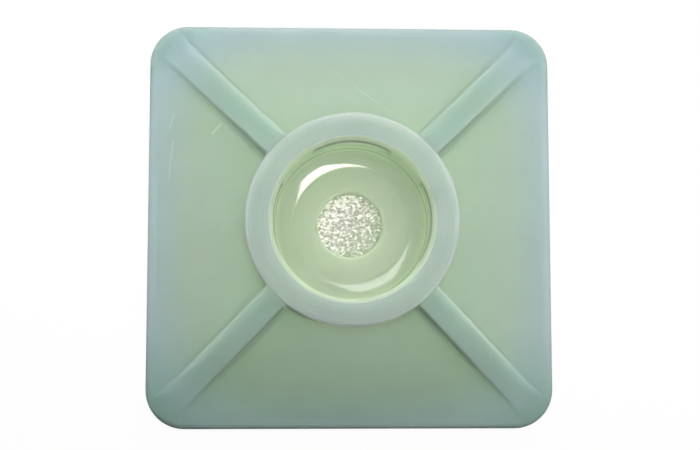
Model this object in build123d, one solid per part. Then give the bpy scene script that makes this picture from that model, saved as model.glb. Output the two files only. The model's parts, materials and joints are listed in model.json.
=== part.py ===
"""Self-adhesive four-way cable tie mount.

One nylon moulding, a square base with sloping panels that carries a bridged ring on four legs and four
diagonal ribs, on one die-cut pad of double-sided foam tape. A cable tie runs under the ring from side to
side, along X or along Y, and a screw can go through the hole in the floor of the well instead of the tape.

The origin is the middle of the pad's lower adhesive face, with +Z up. All sizes are in millimetres.
"""
from build123d import *

import os
from math import acos, cos, radians, sin, sqrt, tan

# Foam pad
pad_thickness = 1.0
pad_margin = 0.4
pad_corner_radius = 2.3

# Square base with four panels that slope up towards the ring
base_side = 28.0
base_corner_radius = 2.7
base_edge_height = 1.2
base_edge_round = 0.5
base_wall_draft_deg = 2.0
border_width = 0.7
panel_slope_deg = 9.0

# Boss: the ring and the four legs under it
boss_height = 5.6
boss_radius = 7.1
boss_draft_deg = 1.0
ring_thickness = 1.4
ring_outer_round = 0.3
ring_inner_round = 0.3
bore_radius = 5.3

# Tie channels under the ring, one along X and one along Y
channel_width = 5.3
channel_lip_round = 0.2

# Dished floor of the well, with the screw hole in its middle
dish_floor_thickness = 1.1
dish_depth = 0.8
dish_round = 1.4
dish_rim_land = 0.1
screw_hole_radius = 2.25
screw_hole_chamfer = 0.15

# Diagonal ribs that run from the ring down into the base near the corners
rib_width = 1.75
rib_draft_deg = 1.0
rib_drop_at_ring = 0.4
rib_fade_margin = 0.7
rib_end_margin = 0.2
rib_top_round = 0.2
rib_root_round = 0.25

# Lengths and places that follow from the sizes above
roof_half_side = base_side / 2 - border_width
roof_corner_radius = base_corner_radius - border_width
roof_corner_reach = roof_half_side * sqrt(2) - roof_corner_radius * (sqrt(2) - 1)
boss_foot_radius = boss_radius + boss_height * tan(radians(boss_draft_deg))
channel_ceiling_height = boss_height - ring_thickness
dish_rim_radius = bore_radius - dish_rim_land
cut_allowance = 1.0
corner_angles = (45, 135, 225, 315)


def panel_height(distance):
    """Height of a panel above the base's underside, at a distance from the axis towards its side."""
    return base_edge_height + (roof_half_side - distance) * tan(radians(panel_slope_deg))


def hip_height(reach):
    """Height of the line where two panels meet, at a distance from the axis along the diagonal."""
    return panel_height(reach / sqrt(2))


def gable_roof():
    """Prism along Y under two opposite panels, up to the line where they would meet."""
    section = Plane.XZ * Polygon(
        (-base_side, 0),
        (base_side, 0),
        (base_side, panel_height(base_side)),
        (0, panel_height(0)),
        (-base_side, panel_height(base_side)),
        align=None,
    )
    return extrude(section, base_side, both=True)


def bordered_base():
    """Rounded square plate with a rounded edge, and four sloping panels inside its border."""
    plate = extrude(
        RectangleRounded(base_side, base_side, base_corner_radius),
        base_edge_height,
        taper=base_wall_draft_deg,
    )
    plate = fillet(plate.edges().group_by(Axis.Z)[-1], base_edge_round)
    roof_outline = RectangleRounded(2 * roof_half_side, 2 * roof_half_side, roof_corner_radius)
    gable = gable_roof()
    roof = extrude(roof_outline, panel_height(0)) & gable & (Rot(0, 0, 90) * gable)
    return plate + roof


def bridged_boss():
    """Round boss cut by the two tie channels, still solid inside the ring."""
    section = Plane.XZ * Polygon(
        (0, 0),
        (boss_foot_radius, 0),
        (boss_radius, boss_height),
        (0, boss_height),
        align=None,
    )
    turned = revolve(section, Axis.Z)
    rounded = fillet(turned.edges().group_by(Axis.Z)[-1], ring_outer_round)
    cross = Rectangle(base_side, channel_width) + Rectangle(channel_width, base_side)
    legs = rounded - extrude(cross, channel_ceiling_height)
    return fillet(mouth_arcs(legs), channel_lip_round)


def mouth_arcs(legs):
    """Outer lower edges of the ring, one over each channel mouth."""
    ceiling = legs.edges().filter_by_position(
        Axis.Z, channel_ceiling_height - channel_lip_round, channel_ceiling_height + channel_lip_round
    )
    return ceiling.filter_by(GeomType.CIRCLE)


def rib():
    """Rib along +X, from inside the boss down to where its end lies inside the base."""
    start = (bore_radius + boss_radius) / 2
    fade = roof_corner_reach - rib_fade_margin
    end = roof_corner_reach - rib_end_margin
    top = boss_height - rib_drop_at_ring
    foot = base_edge_height / 2
    fall = (top - hip_height(fade)) / (fade - boss_radius)
    spread = (top - foot) * tan(radians(rib_draft_deg))
    section = Plane.YZ * Polygon(
        (-rib_width / 2 - spread, foot),
        (rib_width / 2 + spread, foot),
        (rib_width / 2, top),
        (-rib_width / 2, top),
        align=None,
    )
    bar = Pos(start, 0, 0) * extrude(section, end - start)
    side_view = Plane.XZ * Polygon(
        (start, foot),
        (end, foot),
        (end, top - fall * (end - boss_radius)),
        (boss_radius, top),
        (start, top),
        align=None,
    )
    envelope = extrude(side_view, base_side, both=True)
    solid = bar & envelope
    sloping = [edge for edge in solid.edges() if edge.bounding_box().size.Z * 2 > top - foot]
    long_sloping = [edge for edge in sloping if edge.bounding_box().size.X * 2 > end - boss_radius]
    flare = rib_root(start, end, top) & envelope
    return fillet(long_sloping, rib_top_round) + flare


def rib_root(start, end, top):
    """Concave rounds along both sides of a rib, where it meets the panels."""
    drop = tan(radians(panel_slope_deg)) / sqrt(2)
    side = rib_width / 2 + (top - hip_height(start)) * tan(radians(rib_draft_deg))
    reach = side + rib_root_round
    crest = rib_root_round - side * drop
    toe = -reach * drop
    bend = reach - rib_root_round * cos(radians(45))
    bend_height = crest - rib_root_round * sin(radians(45))
    outline = [
        ThreePointArc((-reach, toe), (-bend, bend_height), (-side, crest)),
        Line((-side, crest), (side, crest)),
        ThreePointArc((side, crest), (bend, bend_height), (reach, toe)),
        Polyline((reach, toe), (reach, -base_edge_height), (-reach, -base_edge_height), (-reach, toe)),
    ]
    across = Plane((start, 0, hip_height(start)), x_dir=(0, 1, 0), z_dir=(1, 0, -drop))
    return extrude(across * make_face(outline), (end - start) * sqrt(1 + drop**2))


def well():
    """Space inside the ring: the bore, the dished floor and the screw hole."""
    turn = acos(1 - dish_depth / dish_round)
    flat_radius = dish_rim_radius - dish_round * sin(turn)
    bend_radius = flat_radius + dish_round * sin(turn / 2)
    bend_height = dish_floor_thickness + dish_round * (1 - cos(turn / 2))
    rim_height = dish_floor_thickness + dish_depth
    shoulder = boss_height - ring_inner_round
    mouth = bore_radius + ring_inner_round
    lip_radius = mouth - ring_inner_round * cos(radians(45))
    lip_height = shoulder + ring_inner_round * sin(radians(45))
    outline = [
        Polyline(
            (mouth, boss_height),
            (mouth, boss_height + cut_allowance),
            (0, boss_height + cut_allowance),
            (0, -cut_allowance),
            (screw_hole_radius, -cut_allowance),
            (screw_hole_radius, dish_floor_thickness - screw_hole_chamfer),
            (screw_hole_radius + screw_hole_chamfer, dish_floor_thickness),
            (flat_radius, dish_floor_thickness),
        ),
        ThreePointArc(
            (flat_radius, dish_floor_thickness), (bend_radius, bend_height), (dish_rim_radius, rim_height)
        ),
        Polyline((dish_rim_radius, rim_height), (bore_radius, rim_height), (bore_radius, shoulder)),
        ThreePointArc((bore_radius, shoulder), (lip_radius, lip_height), (mouth, boss_height)),
    ]
    return revolve(Plane.XZ * make_face(outline), Axis.Z)


def mount_body():
    """The whole nylon moulding, on top of the pad."""
    solid = bordered_base() + bridged_boss()
    for angle in corner_angles:
        solid += Rot(0, 0, angle) * rib()
    solid -= well()
    return Pos(0, 0, pad_thickness) * solid


def adhesive_pad():
    """Die-cut pad of foam tape that covers the underside and closes the screw hole."""
    side = base_side - 2 * pad_margin
    return extrude(RectangleRounded(side, side, pad_corner_radius), pad_thickness)


os.makedirs("parts", exist_ok=True)
export_step(mount_body(), "parts/mount_body.step")
export_step(adhesive_pad(), "parts/adhesive_pad.step")
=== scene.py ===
"""Looks of a self-adhesive cable tie mount: a translucent nylon moulding on a pad of foam tape.

The moulding is the CAD node itself, dressed as natural nylon. The pad is a finer mesh that stands for its CAD
node, because the tacky film that shows through the screw hole is bumpy and glints. Sizes are in millimetres.
"""

import json
import logging
import math
from dataclasses import dataclass, field
from enum import Enum

import bpy
from mathutils import Euler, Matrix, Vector, noise

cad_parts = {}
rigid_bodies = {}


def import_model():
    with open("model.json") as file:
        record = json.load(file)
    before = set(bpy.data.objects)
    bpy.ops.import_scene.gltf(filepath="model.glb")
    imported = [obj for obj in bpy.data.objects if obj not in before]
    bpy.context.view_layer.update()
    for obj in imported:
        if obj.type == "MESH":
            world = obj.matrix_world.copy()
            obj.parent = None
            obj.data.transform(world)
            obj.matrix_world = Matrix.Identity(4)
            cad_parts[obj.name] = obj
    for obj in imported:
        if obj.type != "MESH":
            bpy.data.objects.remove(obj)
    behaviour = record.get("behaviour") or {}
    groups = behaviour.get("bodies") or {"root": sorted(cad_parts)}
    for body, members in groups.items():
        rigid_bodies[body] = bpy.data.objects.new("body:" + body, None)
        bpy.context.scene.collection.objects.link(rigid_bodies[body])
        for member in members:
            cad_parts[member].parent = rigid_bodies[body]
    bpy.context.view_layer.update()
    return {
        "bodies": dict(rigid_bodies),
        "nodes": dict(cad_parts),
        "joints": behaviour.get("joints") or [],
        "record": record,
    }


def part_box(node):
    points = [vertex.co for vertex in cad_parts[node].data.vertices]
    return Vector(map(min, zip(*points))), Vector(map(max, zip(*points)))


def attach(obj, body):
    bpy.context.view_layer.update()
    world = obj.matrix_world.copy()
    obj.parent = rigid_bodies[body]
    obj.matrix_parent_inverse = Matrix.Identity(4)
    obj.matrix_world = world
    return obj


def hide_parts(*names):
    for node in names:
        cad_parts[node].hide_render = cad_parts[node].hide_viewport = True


log = logging.getLogger("cable_tie_mount")

Socket = bpy.types.NodeSocket
Tree = bpy.types.NodeTree
Colour = tuple[float, float, float, float]
Triple = Vector | tuple[float, float, float]

MM = 0.001
WHITE: Colour = (1.0, 1.0, 1.0, 1.0)
UP: Triple = (0.0, 0.0, 1.0)
WITHOUT_HEIGHT: Triple = (1.0, 1.0, 0.0)
ROOT_BODY = "root"

# Blender's colour mix node has sockets of the same name for other data, so its own go by number
MIX_SHARE, MIX_FIRST, MIX_SECOND, MIX_RESULT = 0, 6, 7, 2


class Passage(Enum):
    """How one value passes into another, under Blender's name for it."""

    SMOOTH = "SMOOTHSTEP"
    STEADY = "LINEAR"


class LampRole(Enum):
    """What a lamp is for."""

    FILL = "soft light that passes through the nylon"
    GLINT = "a bright shape that only glossy surfaces mirror"


class Aim(Enum):
    """Which way a lamp's face looks."""

    AT_MOUNT = "at the mount"
    STRAIGHT_DOWN = "straight down"


@dataclass(frozen=True)
class Fade:
    """Stretch over which one look passes into another.

    Attributes:
        start: Where the first look ends.
        end: Where the second look is full.
    """

    start: float
    end: float

    def past(self, size: float) -> "Fade":
        """Gives the same stretch measured from one of the moulding's sizes."""
        return Fade(size + self.start, size + self.end)


WHOLE_SHARE = Fade(0.0, 1.0)
TOP_TO_WALL = Fade(1.0, 0.0)


def linear_colour(hex_code: str) -> Colour:
    """Turns an sRGB colour into linear light.

    Args:
        hex_code: The colour, such as #a9c0aa.

    Returns:
        Linear red, green and blue, and an alpha of 1.
    """
    shares = [int(hex_code[place:place + 2], 16) / 255 for place in (1, 3, 5)]
    red, green, blue = [s / 12.92 if s <= 0.04045 else ((s + 0.055) / 1.055) ** 2.4 for s in shares]
    return red, green, blue, 1.0


def add_node(
    tree: Tree,
    kind: str,
    settings: dict[str, object] | None = None,
    sockets: dict[str | int, object] | None = None,
) -> bpy.types.Node:
    """Adds one node to a tree, with its settings, values and links.

    Args:
        tree: Node tree that takes the node.
        kind: Blender's type name of the node.
        settings: Properties of the node itself.
        sockets: Inputs by name or number, each with its value or with the output that feeds it.

    Returns:
        The new node.
    """
    node = tree.nodes.new(kind)
    for name, value in (settings or {}).items():
        setattr(node, name, value)
    for key, value in (sockets or {}).items():
        if isinstance(value, Socket):
            tree.links.new(value, node.inputs[key])
        else:
            node.inputs[key].default_value = value
    return node


def calculate(tree: Tree, operation: str, *values: Socket | float) -> Socket:
    """Works out one number from others, by an operation under Blender's name for it."""
    return add_node(tree, "ShaderNodeMath", {"operation": operation}, dict(enumerate(values))).outputs[0]


def calculate_vector(tree: Tree, operation: str, *values: Socket | Triple) -> Socket:
    """Works out one vector from others, by an operation under Blender's name for it."""
    node = add_node(tree, "ShaderNodeVectorMath", {"operation": operation}, dict(enumerate(values)))
    return node.outputs["Vector"]


def measure(tree: Tree, operation: str, *values: Socket | Triple) -> Socket:
    """Works out one number from vectors, by an operation under Blender's name for it."""
    node = add_node(tree, "ShaderNodeVectorMath", {"operation": operation}, dict(enumerate(values)))
    return node.outputs["Value"]


def scale(tree: Tree, vector: Socket | Triple, factor: Socket | float) -> Socket:
    """Multiplies the length of a vector by a factor."""
    node = add_node(tree, "ShaderNodeVectorMath", {"operation": "SCALE"}, {0: vector, "Scale": factor})
    return node.outputs["Vector"]


def fade_value(
    tree: Tree,
    value: Socket,
    fade: Fade,
    low: Socket | float = 0.0,
    high: Socket | float = 1.0,
    passage: Passage = Passage.SMOOTH,
) -> Socket:
    """Passes from one number to another while a value crosses a stretch.

    Args:
        tree: Node tree that takes the node.
        value: The value that crosses the stretch.
        fade: The stretch.
        low: Number before the stretch.
        high: Number after the stretch.
        passage: How the numbers pass into each other.

    Returns:
        The number.
    """
    node = add_node(tree, "ShaderNodeMapRange", {"interpolation_type": passage.value}, {
        "Value": value,
        "From Min": fade.start,
        "From Max": fade.end,
        "To Min": low,
        "To Max": high,
    })
    return node.outputs[0]


def blend(
    tree: Tree, share: Socket, first: Socket | Colour, second: Socket | Colour, kind: str = "MIX"
) -> Socket:
    """Blends two colours.

    Args:
        tree: Node tree that takes the node.
        share: Share of the second colour.
        first: First colour.
        second: Second colour.
        kind: Blender's name of the way they blend.

    Returns:
        The blended colour.
    """
    node = add_node(
        tree,
        "ShaderNodeMix",
        {"data_type": "RGBA", "blend_type": kind},
        {MIX_SHARE: share, MIX_FIRST: first, MIX_SECOND: second},
    )
    return node.outputs[MIX_RESULT]


def speckle(tree: Tree, place: Socket, size: float, detail: float) -> Socket:
    """Adds an uneven pattern of a size in millimetres, with so many finer layers, as a share from 0 to 1."""
    node = add_node(tree, "ShaderNodeTexNoise", None, {"Vector": place, "Scale": 1 / size, "Detail": detail})
    return node.outputs["Fac"]


def object_place(tree: Tree) -> Socket:
    """Gives the place on the piece, in millimetres."""
    return scale(tree, add_node(tree, "ShaderNodeTexCoord").outputs["Object"], 1 / MM)


def new_material(name: str) -> tuple[bpy.types.Material, Tree]:
    """Makes an empty node material.

    Args:
        name: Its name.

    Returns:
        The material and its tree.
    """
    material = bpy.data.materials.new(name)
    material.use_nodes = True
    material.node_tree.nodes.clear()
    return material, material.node_tree


@dataclass(frozen=True)
class SurfaceMark:
    """A straight mark in the nylon's skin, seen from above.

    Attributes:
        start: One end, X and Y.
        end: Other end, X and Y.
        width: Width at half its strength.
        strength: Share of the mark's pale colour in its middle.
    """

    start: tuple[float, float]
    end: tuple[float, float]
    width: float
    strength: float


@dataclass(frozen=True)
class MouldedForm:
    """Sizes of the moulding that its finish follows, with heights from the pad's underside."""

    border_top: float = 2.2
    ring_radius: float = 7.1
    ring_top: float = 6.6
    bore_radius: float = 5.3
    dish_rim_height: float = 2.9
    hole_radius: float = 2.25
    rib_reach: float = 17.3


@dataclass(frozen=True)
class SkinPoint:
    """A point of the moulding's skin, as sockets of its material.

    Attributes:
        tree: The material's tree.
        place: The point in millimetres.
        flat: The same point without its height.
        across: Its X.
        along: Its Y.
        height: Its height over the pad's underside.
        radius: Its distance from the hole's axis.
        upward: How far the skin faces up there, from 0 on a wall to 1 on a flat top.
        leaving: 1 where a ray meets the skin from inside the nylon, and 0 where it comes from outside.
    """

    tree: Tree
    place: Socket
    flat: Socket
    across: Socket
    along: Socket
    height: Socket
    radius: Socket
    upward: Socket
    leaving: Socket

    @classmethod
    def find(cls, tree: Tree) -> "SkinPoint":
        """Adds the nodes that find the point.

        Args:
            tree: The material's tree.

        Returns:
            The point.
        """
        place = object_place(tree)
        flat = calculate_vector(tree, "MULTIPLY", place, WITHOUT_HEIGHT)
        across, along, height = add_node(tree, "ShaderNodeSeparateXYZ", None, {0: place}).outputs
        radius = measure(tree, "LENGTH", flat)
        geometry = add_node(tree, "ShaderNodeNewGeometry").outputs
        facing = add_node(tree, "ShaderNodeSeparateXYZ", None, {0: geometry["True Normal"]}).outputs
        return cls(tree, place, flat, across, along, height, radius, facing[2], geometry["Backfacing"])


@dataclass(frozen=True)
class NylonFades:
    """Where the nylon's looks pass into each other.

    Attributes:
        edge: Panel into edge, by the reach from the middle in a rounded square.
        corner: Edge into corner, by the same reach.
        rib: Panel into rib, by the difference of the reaches along X and Y.
        ring: Panel into ring, past the ring's radius.
        well: Ring into the well's colour, which holds painted light, past the bore's radius.
        channel: Ring into the channels under it, by height.
        throat_shade: Well into the bore's wall and its painted shade, above the dish's rim.
        bottom_shade: Plain nylon into the painted shade towards the bottom, by Y.
        bottom_shade_tip: Where the painted shade towards the bottom spreads onto the ribs, past the ribs'
            reach.
        turned: Plain into turned, above the ring's top.
        wall: Top into wall, by how far the skin faces up.
        rib_side: A rib's foot into its flank, by the rib's share.
        rib_round: A rib's flank into its rounded top, by the rib's share.
        rib_tip: A rib into the base, past the ribs' reach.
        rib_end: Where the corner's own wall begins, past the ribs' reach.
        ring_wall: Panel into the ring's wall, past the ring's radius.
        ring_edge: The ring's wall into its upper edge, above the ring's top.
        bore_wall: The ring's top into the bore's wall, past the bore's radius.
        dish: Dish into the bore's wall, past the bore's radius.
        hole_wall: Dish into the hole's wall, past the hole's radius.
        outer: Inner panel into outer panel, where the rim's painted shade may fall, past the ring's radius.
        rim: Border into the base's outer wall, which is painted darker, above the border's top.
        boss: Panel into boss, for light that crosses it, past the bore's radius.
        polish_rim: Satin into polished, above the dish's rim.
        polish_bore: Satin into polished, past the bore's radius.
        polish_hole: Satin into polished, past the hole's radius.
    """

    edge: Fade = Fade(10.2, 14.8)
    corner: Fade = Fade(13.8, 15.8)
    rib: Fade = Fade(1.3 * math.sqrt(2), 0.6 * math.sqrt(2))
    ring: Fade = Fade(0.6, -0.3)
    well: Fade = Fade(0.3, 0.05)
    channel: Fade = Fade(5.2, 4.2)
    throat_shade: Fade = Fade(0.0, 0.4)
    # Painted shade towards the bottom
    bottom_shade: Fade = Fade(-6.5, -12.0)
    bottom_shade_tip: Fade = Fade(-6.0, -2.0)
    turned: Fade = Fade(-0.3, -0.05)
    wall: Fade = Fade(0.985, 0.92)
    rib_side: Fade = Fade(0.0, 0.25)
    rib_round: Fade = Fade(0.4, 0.7)
    rib_tip: Fade = Fade(-3.5, -0.5)
    rib_end: Fade = Fade(0.0, 0.6)
    ring_wall: Fade = Fade(0.35, 0.15)
    ring_edge: Fade = Fade(-0.8, -0.3)
    bore_wall: Fade = Fade(0.1, 0.02)
    dish: Fade = Fade(-0.3, -0.05)
    hole_wall: Fade = Fade(0.6, 0.3)
    outer: Fade = Fade(1.0, 5.0)
    rim: Fade = Fade(0.0, -0.35)
    boss: Fade = Fade(0.8, 0.4)
    polish_rim: Fade = Fade(-0.05, -0.25)
    polish_bore: Fade = Fade(0.1, 0.0)
    polish_hole: Fade = Fade(0.15, 0.35)


@dataclass(frozen=True)
class NaturalNylon:
    """Unfilled natural PA66: cool where it is thin, yellower deep in the well, polished in the dish, with
    painted light and shade in its colour.
    """

    # To the eye it is soft and milky: light sinks in and comes out beside, so walls glow and shadows are pale
    name: str = "natural_nylon_satin_moulded"
    panel_hex: str = "#aec1ad"
    # Edges and corners: partly the thin nylon's cooler colour, partly painted cool light that enters there
    edge_hex: str = "#a6bdbf"
    corner_hex: str = "#90b0aa"
    rib_hex: str = "#97b1a4"
    ring_hex: str = "#9daea4"
    # Partly the deep nylon's yellower colour, partly painted light that stands for light the ring lets into
    # the well
    well_tone_and_light_hex: str = "#b2bfa6"
    # Painted shade on the bore's wall: darker and greener
    throat_shade_hex: str = "#a3b897"
    # Painted shade towards the bottom: a darker, greener tint
    bottom_shade_hex: str = "#eff7ed"
    mark_hex: str = "#cfdcd2"
    shadow_hex: str = "#eaf3e4"
    well_shadow_hex: str = "#92ae7f"

    # How far walls, the ribs' tips and the dish are evened out by light that spreads inside the nylon
    light_spread: float = 8.0
    tip_spread: float = 6.0
    dish_spread: float = 1.0
    scatter_depth: float = 4.0
    scatter_share: tuple[float, float, float] = (1.0, 0.95, 0.8)

    # Satin skin, and the polished dish
    satin_roughness: float = 0.45
    satin_gloss: float = 0.08
    refraction: float = 1.53
    polished_roughness: float = 0.1
    polished_refraction: float = 1.8

    # Painted light and shade: shares by which walls and edges are painted brighter or darker than tops
    wall_painted_light: float = 0.15
    ring_near_painted_shade: float = 0.6
    ring_far_painted_light: float = 0.7
    bore_painted_light: float = 0.55
    hole_painted_light: float = 0.7
    round_painted_shade: float = 0.25
    rim_painted_shade: float = 0.35

    # The mould's grain and turning marks are finer than this, and are drawn coarser so that they show
    grain_size: float = 0.16
    grain_detail: float = 2.0
    grain_strength: float = 0.12
    grain_depth: float = 0.02
    turning_pitch: float = 0.13
    turning_detail: float = 1.0
    turning_contrast: float = 0.2

    # Faint clouds in the milky nylon
    cloud_size: float = 2.4
    cloud_detail: float = 3.0
    cloud_contrast: float = 0.05

    # Power of the rounded square that the colours of the edges and corners follow: 2 would be a circle
    squareness: float = 4.0
    fades: NylonFades = NylonFades()

    def make(self, form: MouldedForm, marks: tuple[SurfaceMark, ...]) -> bpy.types.Material:
        """Builds the material.

        Args:
            form: Sizes of the moulding that the colours follow.
            marks: Scratches and flow lines in the skin.

        Returns:
            The nylon, for the moulding's mesh.
        """
        material, tree = new_material(self.name)
        point = SkinPoint.find(tree)
        ribbed = self.rib_share(point)
        plain = self.body_colour(point, form, ribbed)
        colour = blend(tree, self.mark_share(point, marks), plain, linear_colour(self.mark_hex))
        shader = add_node(tree, "ShaderNodeBsdfPrincipled", {"subsurface_method": "RANDOM_WALK"}, {
            "Base Color": colour,
            "Roughness": self.satin_roughness,
            "IOR": self.refraction,
            "Specular IOR Level": self.satin_gloss,
            "Subsurface Weight": 1.0,
            "Subsurface Radius": self.scatter_share,
            "Subsurface Scale": self.scatter_depth * MM,
            "Normal": self.spread_normal(point, form, ribbed),
            "Coat Weight": self.polish_share(point, form),
            "Coat Roughness": self.polished_roughness,
            "Coat IOR": self.polished_refraction,
        })
        # Light crosses a wall of this nylon, so its shadows are pale and tinted
        shadow = self.shadow_colour(point, form)
        crossing = add_node(tree, "ShaderNodeBsdfTransparent", None, {"Color": shadow})
        rays = add_node(tree, "ShaderNodeLightPath")
        surface = add_node(tree, "ShaderNodeMixShader", None, {
            0: rays.outputs["Is Shadow Ray"],
            1: shader.outputs[0],
            2: crossing.outputs[0],
        })
        add_node(tree, "ShaderNodeOutputMaterial", None, {"Surface": surface.outputs[0]})
        return material

    def spread_normal(self, point: SkinPoint, form: MouldedForm, ribbed: Socket) -> Socket:
        """Turns the skin's normal up where light that spreads in the nylon makes walls as bright as tops.

        Args:
            point: The point of the skin.
            form: Sizes of the moulding.
            ribbed: Share of the ribs.

        Returns:
            The normal, with the mould's fine grain in it.
        """
        tree, fades = point.tree, self.fades
        grain = speckle(tree, point.place, self.grain_size, self.grain_detail)
        skin = add_node(tree, "ShaderNodeBump", None, {
            "Strength": self.grain_strength,
            "Distance": self.grain_depth * MM,
            "Height": grain,
        }).outputs[0]
        upright = fade_value(tree, point.upward, fades.wall)
        merging = fade_value(tree, point.radius, fades.rib_tip.past(form.rib_reach))
        on_rib = fade_value(tree, ribbed, fades.rib_side)
        soft = calculate(tree, "MAXIMUM", on_rib, merging)
        even = calculate(tree, "MAXIMUM", upright, soft)
        tipped = calculate(tree, "MULTIPLY_ADD", merging, self.tip_spread, self.light_spread)
        hollow = fade_value(tree, point.radius, fades.dish.past(form.bore_radius), self.dish_spread, tipped)
        strength = calculate(tree, "MULTIPLY", even, hollow)
        lifted = calculate_vector(tree, "ADD", skin, scale(tree, UP, strength))
        return calculate_vector(tree, "NORMALIZE", lifted)

    def body_colour(self, point: SkinPoint, form: MouldedForm, ribbed: Socket) -> Socket:
        """Mixes the nylon's colour from how thick and how deep it is at each place, with painted light and
        shade in it.

        Args:
            point: The point of the skin.
            form: Sizes of the moulding.
            ribbed: Share of the ribs.

        Returns:
            The colour.
        """
        tree, fades = point.tree, self.fades
        outward = self.square_reach(point)
        ringed = fade_value(tree, point.radius, fades.ring.past(form.ring_radius))
        within = fade_value(tree, point.radius, fades.well.past(form.bore_radius))
        under = calculate(tree, "MULTIPLY", ringed, fade_value(tree, point.height, fades.channel))
        throat_shade = fade_value(tree, point.height, fades.throat_shade.past(form.dish_rim_height), high=within)
        layers = (
            (ribbed, self.rib_hex),
            # Edges and corners are cooler: partly the thin nylon's colour, partly painted cool light that
            # enters there
            (fade_value(tree, outward, fades.edge), self.edge_hex),
            (fade_value(tree, outward, fades.corner), self.corner_hex),
            (ringed, self.ring_hex),
            # The well and the channels under the ring: the deep nylon's yellower colour, with painted light
            (calculate(tree, "MAXIMUM", within, under), self.well_tone_and_light_hex),
            # The bore's wall: painted shade, darker and greener
            (throat_shade, self.throat_shade_hex),
        )
        colour = linear_colour(self.panel_hex)
        for share, hex_code in layers:
            colour = blend(tree, share, colour, linear_colour(hex_code))
        # Painted shade: towards the bottom the colour is darker and greener, where less light falls
        beside = calculate(tree, "SUBTRACT", 1.0, ribbed)
        bare = fade_value(tree, point.radius, fades.bottom_shade_tip.past(form.rib_reach), low=beside)
        bottom_shade_share = fade_value(tree, point.along, fades.bottom_shade, high=bare)
        colour = blend(tree, bottom_shade_share, colour, linear_colour(self.bottom_shade_hex), "MULTIPLY")
        brightness = self.brightness(point, form, ribbed)
        shaded = add_node(tree, "ShaderNodeHueSaturation", None, {"Color": colour, "Value": brightness})
        return shaded.outputs[0]

    def square_reach(self, point: SkinPoint) -> Socket:
        """Measures how far out a point lies, along lines that are nearly square.

        Args:
            point: The point of the skin.

        Returns:
            The reach in millimetres, which on the X and Y axes is the distance from the middle.
        """
        tree = point.tree
        powers = [
            calculate(tree, "POWER", calculate(tree, "ABSOLUTE", reach), self.squareness)
            for reach in (point.across, point.along)
        ]
        return calculate(tree, "POWER", calculate(tree, "ADD", *powers), 1 / self.squareness)

    def brightness(self, point: SkinPoint, form: MouldedForm, ribbed: Socket) -> Socket:
        """Finds how bright the colour is, with its clouds and turning marks, and with painted light and shade
        on its walls and rim.

        Args:
            point: The point of the skin.
            form: Sizes of the moulding.
            ribbed: Share of the ribs.

        Returns:
            The brightness, around 1.
        """
        tree, fades = point.tree, self.fades
        clouds = speckle(tree, point.place, self.cloud_size, self.cloud_detail)
        pale, dark = 1 + self.cloud_contrast, 1 - self.cloud_contrast
        shade = fade_value(tree, clouds, WHOLE_SHARE, dark, pale, Passage.STEADY)
        turned = add_node(tree, "ShaderNodeTexNoise", {"noise_dimensions": "1D"}, {
            "W": point.radius,
            "Scale": 1 / self.turning_pitch,
            "Detail": self.turning_detail,
        }).outputs["Fac"]
        on_ring = fade_value(tree, point.height, fades.turned.past(form.ring_top), high=self.turning_contrast)
        rings = calculate(tree, "MULTIPLY_ADD", turned, on_ring, shade)
        lit = calculate(tree, "ADD", self.wall_share(point, form, ribbed), rings)
        # Painted shade: the base's outer wall is darker below the border's top
        outer = fade_value(tree, point.radius, fades.outer.past(form.ring_radius), high=self.rim_painted_shade)
        rim = fade_value(tree, point.height, fades.rim.past(form.border_top), high=outer)
        return calculate(tree, "SUBTRACT", lit, rim)

    def wall_share(self, point: SkinPoint, form: MouldedForm, ribbed: Socket) -> Socket:
        """Finds how much brighter or darker a wall's colour is painted than a top's, as painted light and
        shade.

        A wall takes in less of the light that its spread normal catches, and painted light in its colour
        makes up for that.

        Args:
            point: The point of the skin.
            form: Sizes of the moulding.
            ribbed: Share of the ribs.

        Returns:
            What is added to the brightness: 0 on a flat top, and below 0 where a wall is darker.
        """
        tree, fades = point.tree, self.fades
        # Painted shade on the ribs' rounded top edges, and painted light on their flanks
        gain = fade_value(tree, ribbed, fades.rib_round, self.wall_painted_light, -self.round_painted_shade)
        # Painted shade on the ring's upper edge on the window's side, and painted light on its far side,
        # where light that enters on the window's side comes out
        ring_depth = Fade(form.ring_radius, -form.ring_radius)
        near, far = -self.ring_near_painted_shade, self.ring_far_painted_light
        through = fade_value(tree, point.along, ring_depth, near, far, Passage.STEADY)
        edge_fade = fades.ring_edge.past(form.ring_top)
        ring_edge = fade_value(tree, point.height, edge_fade, self.wall_painted_light, through)
        # Painted light on the walls of the ribs' ends, the ring, the bore and the hole
        walls = (
            (fades.rib_end.past(form.rib_reach), self.wall_painted_light),
            (fades.ring_wall.past(form.ring_radius), ring_edge),
            (fades.bore_wall.past(form.bore_radius), self.bore_painted_light),
            (fades.hole_wall.past(form.hole_radius), self.hole_painted_light),
        )
        for fade, wall_painted_light in walls:
            gain = fade_value(tree, point.radius, fade, gain, wall_painted_light)
        return fade_value(tree, point.upward, TOP_TO_WALL, high=gain, passage=Passage.STEADY)

    def rib_share(self, point: SkinPoint) -> Socket:
        """Finds the ribs, which run along the diagonals.

        Args:
            point: The point of the skin.

        Returns:
            A share from 0 beside a rib to 1 along its middle.
        """
        tree = point.tree
        reaches = [calculate(tree, "ABSOLUTE", reach) for reach in (point.across, point.along)]
        aside = calculate(tree, "ABSOLUTE", calculate(tree, "SUBTRACT", *reaches))
        return fade_value(tree, aside, self.fades.rib)

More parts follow.
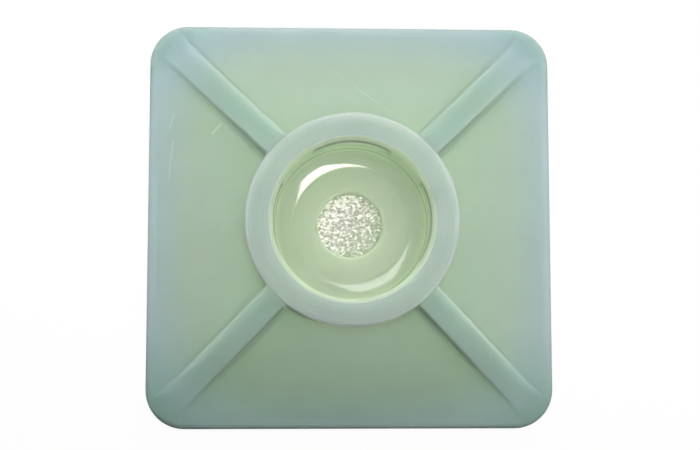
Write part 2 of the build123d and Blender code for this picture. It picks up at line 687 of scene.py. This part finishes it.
    def mark_share(self, point: SkinPoint, marks: tuple[SurfaceMark, ...]) -> Socket | float:
        """Finds how much of the pale mark colour shows at each place.

        Args:
            point: The point of the skin.
            marks: The marks to draw.

        Returns:
            A share from 0 to 1.
        """
        tree = point.tree
        share: Socket | float = 0.0
        for mark in marks:
            start = Vector((*mark.start, 0.0))
            run = Vector((*mark.end, 0.0)) - start
            offset = calculate_vector(tree, "SUBTRACT", point.flat, start)
            along = measure(tree, "DOT_PRODUCT", offset, run / run.length_squared)
            held = add_node(tree, "ShaderNodeClamp", None, {"Value": along}).outputs[0]
            distance = measure(tree, "DISTANCE", offset, scale(tree, run, held))
            line = fade_value(tree, distance, Fade(mark.width, 0.0), high=mark.strength)
            share = calculate(tree, "MAXIMUM", share, line)
        return share

    def polish_share(self, point: SkinPoint, form: MouldedForm) -> Socket:
        """Finds where the mould was polished, which is the dish.

        Args:
            point: The point of the skin.
            form: Sizes of the moulding.

        Returns:
            A share from 0, satin, to 1, polished.
        """
        tree, fades = point.tree, self.fades
        low = fade_value(tree, point.height, fades.polish_rim.past(form.dish_rim_height))
        within = fade_value(tree, point.radius, fades.polish_bore.past(form.bore_radius))
        beyond = fade_value(tree, point.radius, fades.polish_hole.past(form.hole_radius), high=within)
        return calculate(tree, "MULTIPLY", low, beyond)

    def shadow_colour(self, point: SkinPoint, form: MouldedForm) -> Socket:
        """Tints the light that crosses the nylon, most where it enters the boss from the well.

        Args:
            point: The point of the skin.
            form: Sizes of the moulding.

        Returns:
            The colour of the light that is let through.
        """
        tree = point.tree
        entering = calculate(tree, "SUBTRACT", 1.0, point.leaving)
        boss = fade_value(tree, point.radius, self.fades.boss.past(form.bore_radius), high=entering)
        return blend(tree, boss, linear_colour(self.shadow_hex), linear_colour(self.well_shadow_hex))


@dataclass(frozen=True)
class ClosedCellFoam:
    """White PE foam, die-cut at the sides: a dull, finely pitted wall."""

    # To the eye it is a dry, chalky band under the base
    name: str = "closed_cell_pe_foam"
    wall_hex: str = "#dedcd2"
    # The pits are painted darker: painted shade in the hollows
    pit_shade_hex: str = "#c3c0b4"
    roughness: float = 0.85

    # Real cells are finer, and are drawn coarser so that they show
    cell_size: float = 0.22
    pit_strength: float = 0.5
    pit_depth: float = 0.05

    def make(self) -> bpy.types.Material:
        """Builds the material.

        Returns:
            The foam, for the pad's cut sides.
        """
        material, tree = new_material(self.name)
        cells = add_node(tree, "ShaderNodeTexVoronoi", None, {
            "Vector": object_place(tree),
            "Scale": 1 / self.cell_size,
        }).outputs["Distance"]
        pits = add_node(tree, "ShaderNodeBump", None, {
            "Strength": self.pit_strength,
            "Distance": self.pit_depth * MM,
            "Height": cells,
        })
        shader = add_node(tree, "ShaderNodeBsdfPrincipled", None, {
            # Painted shade: darker colour in the cells' hollows
            "Base Color": blend(tree, cells, linear_colour(self.pit_shade_hex), linear_colour(self.wall_hex)),
            "Roughness": self.roughness,
            "Normal": pits.outputs[0],
        })
        add_node(tree, "ShaderNodeOutputMaterial", None, {"Surface": shader.outputs[0]})
        return material


@dataclass(frozen=True)
class TackyFilm:
    """Clear acrylic adhesive on the foam: beige-grey with a wet gloss that breaks into white glints, some of
    them painted as pale spots.
    """

    # To the eye it is wet and restless: small pale spots of painted glint and hard glints on a dull ground
    name: str = "clear_acrylic_adhesive_on_foam"
    film_hex: str = "#a5a198"
    # Greener film where painted shade falls
    shaded_film_hex: str = "#9fa594"
    # Colour of the painted glints
    painted_glint_hex: str = "#f7efed"
    roughness: float = 0.3
    refraction: float = 1.48
    wet_roughness: float = 0.06
    wet_refraction: float = 1.5

    # Painted glints crowd towards the upper left of the hole, where light falls, and painted shade makes the
    # film greener towards the lower right
    painted_glint_size: float = 0.18
    painted_glint_detail: float = 1.0
    painted_glint_stretch: tuple[float, float, float] = (0.75, 1.05, 1.0)
    painted_light_lean: tuple[float, float, float] = (-0.03, 0.03, 0.0)
    painted_glint_fade: Fade = Fade(0.44, 0.70)
    film_shade_fade: Fade = Fade(0.04, -0.06)

    def make(self) -> bpy.types.Material:
        """Builds the material.

        Returns:
            The film, for the pad's faces.
        """
        material, tree = new_material(self.name)
        place = object_place(tree)
        drawn = calculate_vector(tree, "MULTIPLY", place, self.painted_glint_stretch)
        spots = speckle(tree, drawn, self.painted_glint_size, self.painted_glint_detail)
        lean = measure(tree, "DOT_PRODUCT", place, self.painted_light_lean)
        # Pale spots of painted glint
        painted_glints = fade_value(tree, calculate(tree, "ADD", spots, lean), self.painted_glint_fade)
        # Painted shade, greener towards the lower right
        film_shade = fade_value(tree, lean, self.film_shade_fade)
        ground = blend(tree, film_shade, linear_colour(self.film_hex), linear_colour(self.shaded_film_hex))
        shader = add_node(tree, "ShaderNodeBsdfPrincipled", None, {
            "Base Color": blend(tree, painted_glints, ground, linear_colour(self.painted_glint_hex)),
            "Roughness": self.roughness,
            "IOR": self.refraction,
            "Coat Weight": 1.0,
            "Coat Roughness": self.wet_roughness,
            "Coat IOR": self.wet_refraction,
        })
        add_node(tree, "ShaderNodeOutputMaterial", None, {"Surface": shader.outputs[0]})
        return material


@dataclass
class MountBody:
    """The nylon moulding. Its shape is the CAD node's own."""

    node: str = "mount_body"
    form: MouldedForm = field(default_factory=MouldedForm)
    finish: NaturalNylon = field(default_factory=NaturalNylon)
    marks: tuple[SurfaceMark, ...] = (
        SurfaceMark((-9.5, 6.25), (-8.95, 6.9), 0.1, 0.7),
        SurfaceMark((-12.25, 5.8), (-12.35, 4.6), 0.1, 0.3),
        SurfaceMark((-12.4, 4.9), (-12.5, 3.0), 0.09, 0.3),
        SurfaceMark((-12.2, 7.6), (-12.55, 6.6), 0.1, 0.35),
        SurfaceMark((-1.5, 10.9), (0.4, 9.5), 0.07, 0.12),
        SurfaceMark((0.3, 9.6), (2.0, 8.3), 0.08, 0.32),
        SurfaceMark((1.9, 8.4), (2.75, 7.75), 0.08, 0.15),
    )

    def dress(self, frame: dict[str, dict[str, bpy.types.Object]]) -> None:
        """Gives the moulding its nylon.

        Args:
            frame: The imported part's nodes and bodies.
        """
        body = frame["nodes"][self.node]
        body.data.materials.clear()
        body.data.materials.append(self.finish.make(self.form, self.marks))
        log.info("%s dressed with %d marks", self.node, len(self.marks))


@dataclass
class AdhesivePad:
    """The die-cut pad of foam tape, with the bumpy film that shows through the screw hole."""

    node: str = "adhesive_pad"
    piece: str = "foam_tape_pad"
    material_slot: str = "foam_tape"
    corner_radius: float = 2.3
    edge_round: float = 0.08
    wall_waist: float = 0.06
    spokes: int = 288

    # The upper film, pressed a little below the nylon's underside, and its bumps in the hole
    film_radius: float = 2.6
    film_rings: int = 90
    press_depth: float = 0.02
    bump_size: float = 0.4
    bump_height: float = 0.06
    bump_sink: float = 0.6
    bump_fade: float = 0.4
    fine_bumps_per_bump: float = 2.3
    fine_bump_share: float = 0.45
    fine_bump_shift: tuple[float, float, float] = (3.7, 1.9, 0.0)

    # A face whose normal rises less than this is a cut side of the foam
    side_rise: float = 0.7
    foam: ClosedCellFoam = field(default_factory=ClosedCellFoam)
    film: TackyFilm = field(default_factory=TackyFilm)

    def outline_reach(self, half_side: float, corner: float, angle: float) -> float:
        """Measures from the middle to a rounded square's edge.

        Args:
            half_side: Half of the square's side.
            corner: Radius of its corners.
            angle: Direction, in radians.

        Returns:
            The distance.
        """
        along, across = sorted((abs(math.cos(angle)), abs(math.sin(angle))), reverse=True)
        straight = half_side / along
        centre = half_side - corner
        if straight * across <= centre:
            return straight
        lean = centre * (along + across)
        return lean + math.sqrt(lean**2 - 2 * centre**2 + corner**2)

    def film_height(self, radius: float, angle: float) -> float:
        """Finds the height of the film's bumps, which end under the nylon.

        Args:
            radius: Distance from the hole's axis.
            angle: Direction, in radians.

        Returns:
            The height over the pressed film.
        """
        place = Vector((radius * math.cos(angle), radius * math.sin(angle), 0.0))
        coarse = noise.noise(place / self.bump_size)
        fine = noise.noise(place / self.bump_size * self.fine_bumps_per_bump + Vector(self.fine_bump_shift))
        fade = min(1.0, max(0.0, (self.film_radius - radius) / self.bump_fade))
        return self.bump_height * (coarse + self.fine_bump_share * fine - self.bump_sink) * fade

    def film_points(self, top: float, angles: list[float]) -> list[list[Vector]]:
        """Places the rings of points of the film in the hole, from the inside out.

        Args:
            top: Height of the pad's upper face.
            angles: Direction of each spoke, in radians.

        Returns:
            A list of points for each ring.
        """
        rings: list[list[Vector]] = []
        for step in range(1, self.film_rings + 1):
            radius = self.film_radius * step / self.film_rings
            rings.append([
                Vector((radius * math.cos(a), radius * math.sin(a),
                        top - self.press_depth + self.film_height(radius, a)))
                for a in angles
            ])
        return rings

    def wall_points(self, low: Vector, high: Vector, angles: list[float]) -> list[list[Vector]]:
        """Places the rings of points round the pad's cut side, from the top down.

        Args:
            low: Lowest corner of the pad's box.
            high: Highest corner of the pad's box.
            angles: Direction of each spoke, in radians.

        Returns:
            A list of points for each ring.
        """
        profile = (
            (self.edge_round, high.z - self.press_depth),
            (0.0, high.z - self.edge_round),
            (self.wall_waist, (low.z + high.z) / 2),
            (0.0, low.z + self.edge_round),
            (self.edge_round, low.z),
        )
        rings: list[list[Vector]] = []
        for inset, height in profile:
            reach = [self.outline_reach(high.x - inset, self.corner_radius - inset, a) for a in angles]
            rings.append([
                Vector((d * math.cos(a), d * math.sin(a), height)) for d, a in zip(reach, angles)
            ])
        return rings

    def join_rings(self, ring_count: int) -> list[tuple[int, ...]]:
        """Joins the rings by faces and closes both ends with a fan.

        Args:
            ring_count: How many rings of points there are. The upper and the lower hub come after them.

        Returns:
            The points of each face, by number.
        """
        upper_hub = ring_count * self.spokes
        lower_hub = upper_hub + 1
        last = upper_hub - self.spokes
        faces: list[tuple[int, ...]] = []
        for spoke in range(self.spokes):
            after = (spoke + 1) % self.spokes
            faces.append((upper_hub, spoke, after))
            for inner in range(0, last, self.spokes):
                outer = inner + self.spokes
                faces.append((inner + spoke, outer + spoke, outer + after, inner + after))
            faces.append((lower_hub, last + after, last + spoke))
        return faces

    def dress(self, mesh: bpy.types.Mesh, points: list[Vector]) -> None:
        """Gives the pad's faces their film and its cut sides their foam.

        Args:
            mesh: The pad's mesh.
            points: Its points in millimetres.
        """
        mesh.materials.append(self.film.make())
        mesh.materials.append(self.foam.make())
        for polygon in mesh.polygons:
            outermost = max(max(abs(points[v].x), abs(points[v].y)) for v in polygon.vertices)
            upright = abs(polygon.normal.z) < self.side_rise
            polygon.material_index = 1 if upright and outermost > self.film_radius else 0

    def build(self) -> bpy.types.Object:
        """Builds the pad in place of its CAD node.

        Returns:
            The pad.
        """
        low, high = (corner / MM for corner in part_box(self.node))
        angles = [math.tau * spoke / self.spokes for spoke in range(self.spokes)]
        rings = self.film_points(high.z, angles) + self.wall_points(low, high, angles)
        points = [point for ring in rings for point in ring]
        points.append(Vector((0, 0, high.z - self.press_depth + self.film_height(0, 0))))
        points.append(Vector((0, 0, low.z)))
        faces = self.join_rings(len(rings))
        mesh = bpy.data.meshes.new(self.piece)
        mesh.from_pydata([point * MM for point in points], [], faces)
        mesh.shade_smooth()
        self.dress(mesh, points)
        pad = bpy.data.objects.new(self.piece, mesh)
        bpy.context.scene.collection.objects.link(pad)
        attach(pad, ROOT_BODY)
        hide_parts(self.node)
        film_faces = self.film_rings * self.spokes
        log.info("%s built with %d faces, %d of them film", pad.name, len(faces), film_faces)
        return pad


@dataclass(frozen=True)
class Lamp:
    """An area lamp near the mount.

    Attributes:
        name: What it is in the room.
        azimuth: Direction it stands in, in degrees anticlockwise from +X.
        elevation: Its height over the horizon, in degrees.
        distance: How far it stands from the mount.
        width: Width of its face.
        height: Height of its face.
        radiance: Brightness of its face, where a white card in plain light is 1.
        tint_hex: Colour of its light.
        aim: Which way its face looks.
        role: What it is for.
    """

    name: str
    azimuth: float
    elevation: float
    distance: float
    width: float
    height: float
    radiance: float
    tint_hex: str = "#ffffff"
    aim: Aim = Aim.AT_MOUNT
    role: LampRole = LampRole.FILL

    def build(self, target: Vector) -> None:
        """Places the lamp.

        Args:
            target: Place that the lamp stands round, in metres.
        """
        light = bpy.data.lights.new(self.name, "AREA")
        light.shape = "RECTANGLE"
        light.size = self.width * MM
        light.size_y = self.height * MM
        area = self.width * self.height * MM**2
        light.energy = self.radiance * math.pi * area
        light.color = linear_colour(self.tint_hex)[:3]
        lamp = bpy.data.objects.new(self.name, light)
        turn, rise = math.radians(self.azimuth), math.radians(self.elevation)
        away = Vector((math.cos(turn) * math.cos(rise), math.sin(turn) * math.cos(rise), math.sin(rise)))
        lamp.location = target + away * self.distance * MM
        if self.aim is Aim.AT_MOUNT:
            lamp.rotation_euler = away.to_track_quat("Z", "Y").to_euler()
        else:
            lamp.rotation_euler = Euler((0.0, 0.0, turn - math.pi / 2))
        glints = self.role is LampRole.GLINT
        lamp.visible_glossy = glints
        lamp.visible_diffuse = not glints
        # Fill light is followed by shadow rays alone, which the nylon lets through
        light.cycles.use_multiple_importance_sampling = glints
        bpy.context.scene.collection.objects.link(lamp)
        log.info("%s at azimuth %.0f, elevation %.0f", self.name, self.azimuth, self.elevation)


@dataclass
class Studio:
    """White table, room light, lamps and the camera of the photo."""

    # Where the photo was taken from, fitted to the base's corners and the ring
    camera_place: tuple[float, float, float] = (-3.332, -8.283, 88.165)
    camera_turn: tuple[float, float, float] = (5.495, -2.204, -0.004)
    lens: float = 64.2857
    sensor_width: float = 36.0
    nearest_seen: float = 1.0
    farthest_seen: float = 1000.0

    # The table is matte to the light. To the camera most of it is a white glow, and the rest takes the shadow
    floor_side: float = 600.0
    floor_grey: float = 0.85
    floor_glow: float = 0.93
    floor_glow_strength: float = 1.02
    room_strength: float = 0.1
    lamp_target_height: float = 3.0
    lamps: tuple[Lamp, ...] = (
        Lamp("tent_panel", azimuth=84.0, elevation=72.0, distance=22.6, width=140.0, height=36.0,
             radiance=1.27, aim=Aim.STRAIGHT_DOWN),
        Lamp("window_light", azimuth=84.0, elevation=20.0, distance=110.0, width=100.0, height=50.0,
             radiance=3.6),
        Lamp("window_pane", azimuth=108.0, elevation=46.0, distance=110.0, width=66.0, height=118.0,
             radiance=2.9, role=LampRole.GLINT),
        Lamp("doorway_light", azimuth=5.0, elevation=65.0, distance=120.0, width=80.0, height=80.0,
             radiance=0.74),
        Lamp("strip_light", azimuth=315.0, elevation=66.0, distance=120.0, width=40.0, height=84.0,
             radiance=9.5, tint_hex="#fffaf2", role=LampRole.GLINT),
    )

    def build(self) -> None:
        """Sets the stage round the mount."""
        self.light_room()
        self.lay_floor()
        for lamp in self.lamps:
            lamp.build(Vector((0, 0, self.lamp_target_height * MM)))
        self.aim_camera()

    def light_room(self) -> None:
        """Fills the room with even white light, which the camera sees as plain white."""
        world = bpy.data.worlds.new("white_room")
        bpy.context.scene.world = world
        world.use_nodes = True
        tree = world.node_tree
        tree.nodes.clear()
        seen = self.seen_share(tree)
        strength = fade_value(tree, seen, WHOLE_SHARE, low=self.room_strength, passage=Passage.STEADY)
        glow = add_node(tree, "ShaderNodeBackground", None, {"Color": WHITE, "Strength": strength})
        add_node(tree, "ShaderNodeOutputWorld", None, {"Surface": glow.outputs[0]})
        log.info("room light at %.2f", self.room_strength)

    def seen_share(self, tree: Tree) -> Socket:
        """Finds the rays that show the background: seen plainly, mirrored or through a surface.

        Args:
            tree: Node tree that takes the nodes.

        Returns:
            1 for such a ray and 0 for the rest.
        """
        rays = add_node(tree, "ShaderNodeLightPath").outputs
        mirrored = calculate(tree, "MAXIMUM", rays["Is Camera Ray"], rays["Is Glossy Ray"])
        return calculate(tree, "MAXIMUM", mirrored, rays["Is Transmission Ray"])

    def lay_floor(self) -> None:
        """Lays a white table under the mount, bright to the camera, with the mount's shadow on it."""
        half = self.floor_side * MM / 2
        mesh = bpy.data.meshes.new("white_table")
        corners = [(-half, -half, 0), (half, -half, 0), (half, half, 0), (-half, half, 0)]
        mesh.from_pydata(corners, [], [(0, 1, 2, 3)])
        floor = bpy.data.objects.new("white_table", mesh)
        bpy.context.scene.collection.objects.link(floor)
        # To the eye the card is plain white, with nothing on it but a faint shadow
        material, tree = new_material("white_card")
        grey = (self.floor_grey, self.floor_grey, self.floor_grey, 1.0)
        matte = add_node(tree, "ShaderNodeBsdfDiffuse", None, {"Color": grey})
        glow = add_node(tree, "ShaderNodeEmission", None, {
            "Color": WHITE,
            "Strength": self.floor_glow_strength,
        })
        share = calculate(tree, "MULTIPLY", self.seen_share(tree), self.floor_glow)
        mixed = add_node(tree, "ShaderNodeMixShader", None, {
            0: share,
            1: matte.outputs[0],
            2: glow.outputs[0],
        })
        add_node(tree, "ShaderNodeOutputMaterial", None, {"Surface": mixed.outputs[0]})
        mesh.materials.append(material)
        log.info("floor laid, %.0f mm wide", self.floor_side)

    def aim_camera(self) -> None:
        """Puts the camera where the photo was taken from."""
        data = bpy.data.cameras.new("photo_camera")
        data.lens = self.lens
        data.sensor_width = self.sensor_width
        data.clip_start = self.nearest_seen * MM
        data.clip_end = self.farthest_seen * MM
        camera = bpy.data.objects.new("photo_camera", data)
        camera.location = Vector(self.camera_place) * MM
        camera.rotation_euler = Euler([math.radians(turn) for turn in self.camera_turn])
        bpy.context.scene.collection.objects.link(camera)
        bpy.context.scene.camera = camera
        bpy.context.scene.view_settings.view_transform = "Standard"
        log.info("camera %.0f mm above the table", self.camera_place[2])


def main() -> None:
    """Loads the frame, dresses the mount and sets the stage."""
    logging.basicConfig(level=logging.INFO)
    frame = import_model()
    MountBody().dress(frame)
    AdhesivePad().build()
    Studio().build()


if __name__ == "__main__":
    main()
